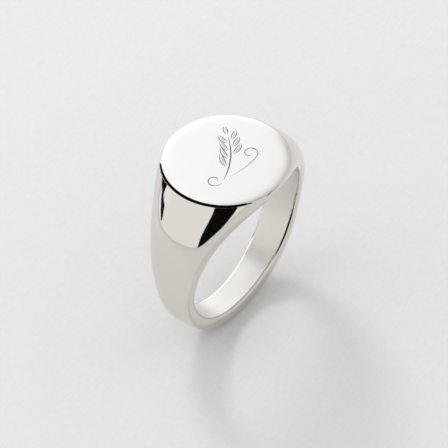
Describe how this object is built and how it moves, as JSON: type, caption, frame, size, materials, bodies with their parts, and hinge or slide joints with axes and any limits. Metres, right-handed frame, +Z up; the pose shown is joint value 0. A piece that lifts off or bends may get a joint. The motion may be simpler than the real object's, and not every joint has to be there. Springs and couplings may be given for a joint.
{
  "type": "signet ring",
  "caption": "Silver signet ring with a round flat table, broad tapering shoulders and a narrow shank; the table is engraved with a leaf sprig.",
  "frame": {"origin": "under the middle of the shank, at the lowest point of the standing ring", "axes": "+Z up through the middle of the table, +Y along the finger hole, +X across the shoulders"},
  "size_m": [0.0206, 0.0132, 0.0214],
  "materials": {
    "table_silver": "polished",
    "head_silver": "polished",
    "shank_silver": "polished",
    "table_solder_alloy": "polished",
    "shoulder_solder_alloy": "polished"
  },
  "bodies": {
    "root": {"table_plate": "table_silver", "table_solder": "table_solder_alloy", "head_with_shoulders": "head_silver", "shoulder_solder_left": "shoulder_solder_alloy", "shoulder_solder_right": "shoulder_solder_alloy", "shank": "shank_silver"}
  },
  "joints": []
}
